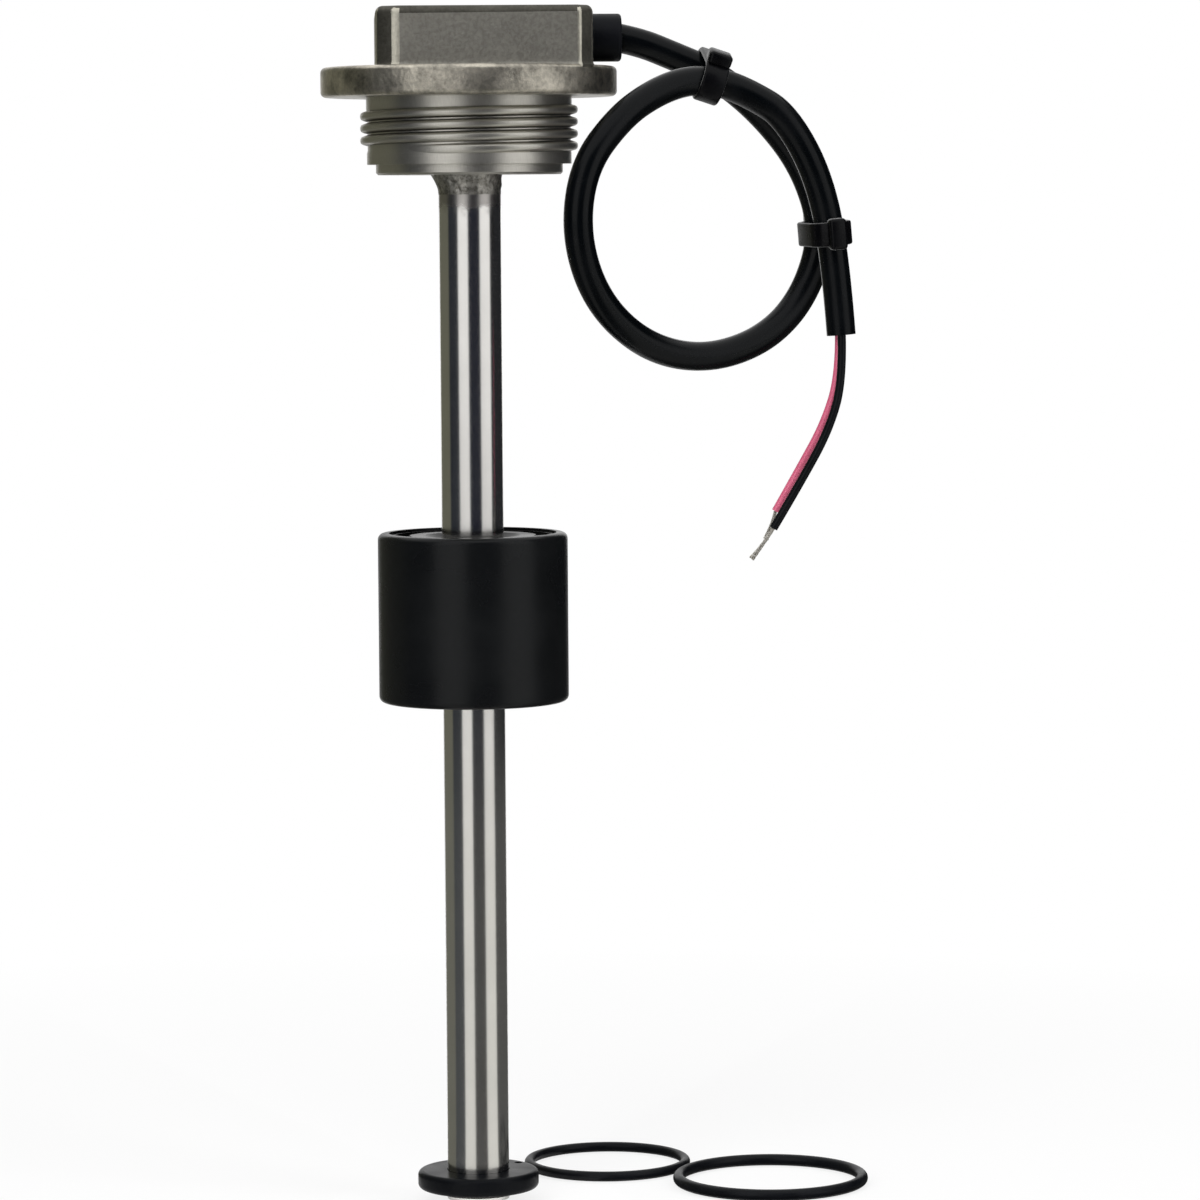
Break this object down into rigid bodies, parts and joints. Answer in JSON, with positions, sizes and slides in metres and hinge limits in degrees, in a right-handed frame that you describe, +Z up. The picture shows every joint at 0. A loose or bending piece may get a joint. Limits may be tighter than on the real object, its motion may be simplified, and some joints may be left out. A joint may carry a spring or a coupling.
{
  "type": "tank level sender",
  "caption": "Screw-in tank level sender: cast square head on a flanged pipe thread, reed stem with a sliding magnetic float, looped cable with bare ends, and its seal rings taken off.",
  "frame": {"origin": "centre of the flange's underside, on the stem's axis, where the head seats on the tank", "axes": "+Z up along the stem towards the head's top, stem hanging down -Z, cable leaving along +X"},
  "size_m": [0.1064, 0.0793, 0.2323],
  "materials": {
    "cast_steel": "cast stainless steel, machined below the flange",
    "stem_steel": "drawn and polished stainless steel",
    "weld_metal": "rough weld metal, heat tinted",
    "spring_steel": "spring steel",
    "stop_plastic": "moulded black plastic",
    "float_plastic": "moulded black plastic, matt",
    "ferrite": "sintered ferrite",
    "board_laminate": "green laminate",
    "reed_glass": "clear greenish glass",
    "resistor_ceramic": "fired ceramic chips",
    "wire_insulation_black": "soft satin insulation",
    "wire_insulation_pink": "soft satin insulation",
    "potting_resin": "cured black resin",
    "boot_rubber": "moulded black rubber",
    "jacket_rubber": "satin black cable jacket",
    "tinned_copper": "tinned copper strands",
    "tie_plastic": "black nylon",
    "seal_rubber": "black nitrile rubber"
  },
  "bodies": {
    "sender": {"head_casting": "cast_steel", "stem_tube": "stem_steel", "weld_bead": "weld_metal", "stem_end_plug": "stem_steel", "float_stop": "stop_plastic", "stop_clip": "spring_steel", "circuit_board": "board_laminate", "reed_switches": "reed_glass", "resistors": "resistor_ceramic", "inner_lead_black": "wire_insulation_black", "inner_lead_pink": "wire_insulation_pink", "head_potting": "potting_resin", "cable_boot": "boot_rubber", "cable_jacket": "jacket_rubber", "wire_black": "wire_insulation_black", "wire_pink": "wire_insulation_pink", "strands_black": "tinned_copper", "strands_pink": "tinned_copper", "tie_upper": "tie_plastic", "tie_lower": "tie_plastic", "seal_ring_small": "seal_rubber", "seal_ring_large": "seal_rubber"},
    "float": {"float_shell": "float_plastic", "float_cap": "float_plastic", "float_magnet": "ferrite"}
  },
  "joints": [
    {"name": "float_slide", "type": "slide", "parent": "sender", "child": "float", "axis": [0, 0, 1], "range_m": [-0.0917, 0.0655]}
  ]
}
